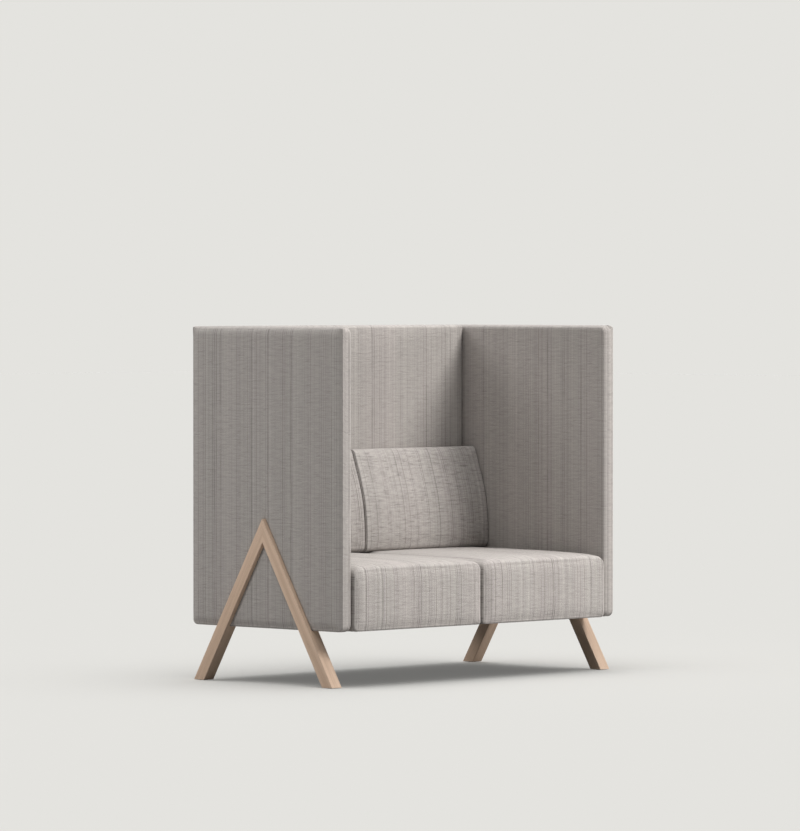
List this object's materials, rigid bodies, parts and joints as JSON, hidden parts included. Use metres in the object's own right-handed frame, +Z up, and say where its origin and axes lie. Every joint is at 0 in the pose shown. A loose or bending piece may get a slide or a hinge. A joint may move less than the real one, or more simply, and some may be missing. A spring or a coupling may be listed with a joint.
{
  "type": "high-back sofa",
  "caption": "High-back sofa with padded fabric walls at the sides and back, box seat cushions, wedge back cushions and solid wood A-frame legs.",
  "frame": {"origin": "on the floor under the middle of the sofa", "axes": "+X to the right of someone who faces the front, +Y from the front to the back wall, +Z up"},
  "size_m": [1.484, 0.775, 1.296],
  "materials": {
    "pale_oak": "pale solid wood, matt oiled",
    "tongue_wood": "bare hardwood",
    "plywood": "bare birch plywood",
    "pale_foam": "open-cell foam",
    "striped_fabric": "woven wool blend with fine warp stripes, warm grey",
    "dark_cloth": "black non-woven cloth",
    "glide_plastic": "moulded plastic, matt",
    "zinc_steel": "zinc-plated steel"
  },
  "bodies": {
    "root": {"left_front_leg": "pale_oak", "left_rear_leg": "pale_oak", "right_front_leg": "pale_oak", "right_rear_leg": "pale_oak", "left_leg_tongue": "tongue_wood", "right_leg_tongue": "tongue_wood", "left_front_glide": "glide_plastic", "left_rear_glide": "glide_plastic", "right_front_glide": "glide_plastic", "right_rear_glide": "glide_plastic", "left_wall_core": "plywood", "left_wall_inner_foam": "pale_foam", "left_wall_outer_foam": "pale_foam", "left_wall_cover": "striped_fabric", "right_wall_core": "plywood", "right_wall_inner_foam": "pale_foam", "right_wall_outer_foam": "pale_foam", "right_wall_cover": "striped_fabric", "back_wall_core": "plywood", "back_wall_front_foam": "pale_foam", "back_wall_rear_foam": "pale_foam", "back_wall_cover": "striped_fabric", "left_seat_front_board": "plywood", "left_seat_rear_board": "plywood", "left_seat_wall_board": "plywood", "left_seat_middle_board": "plywood", "left_seat_deck": "plywood", "left_seat_foam": "pale_foam", "left_seat_cover": "striped_fabric", "left_seat_dust_cloth": "dark_cloth", "right_seat_front_board": "plywood", "right_seat_rear_board": "plywood", "right_seat_wall_board": "plywood", "right_seat_middle_board": "plywood", "right_seat_deck": "plywood", "right_seat_foam": "pale_foam", "right_seat_cover": "striped_fabric", "right_seat_dust_cloth": "dark_cloth", "left_back_foam": "pale_foam", "left_back_cover": "striped_fabric", "right_back_foam": "pale_foam", "right_back_cover": "striped_fabric", "left_front_leg_lower_bolt": "zinc_steel", "left_front_leg_upper_bolt": "zinc_steel", "left_rear_leg_lower_bolt": "zinc_steel", "left_rear_leg_upper_bolt": "zinc_steel", "right_front_leg_lower_bolt": "zinc_steel", "right_front_leg_upper_bolt": "zinc_steel", "right_rear_leg_lower_bolt": "zinc_steel", "right_rear_leg_upper_bolt": "zinc_steel", "left_back_wall_bolt": "zinc_steel", "right_back_wall_bolt": "zinc_steel", "front_seat_tie_bolt": "zinc_steel", "rear_seat_tie_bolt": "zinc_steel", "left_corner_lower_pin": "zinc_steel", "left_corner_upper_pin": "zinc_steel", "right_corner_lower_pin": "zinc_steel", "right_corner_upper_pin": "zinc_steel"}
  },
  "joints": []
}
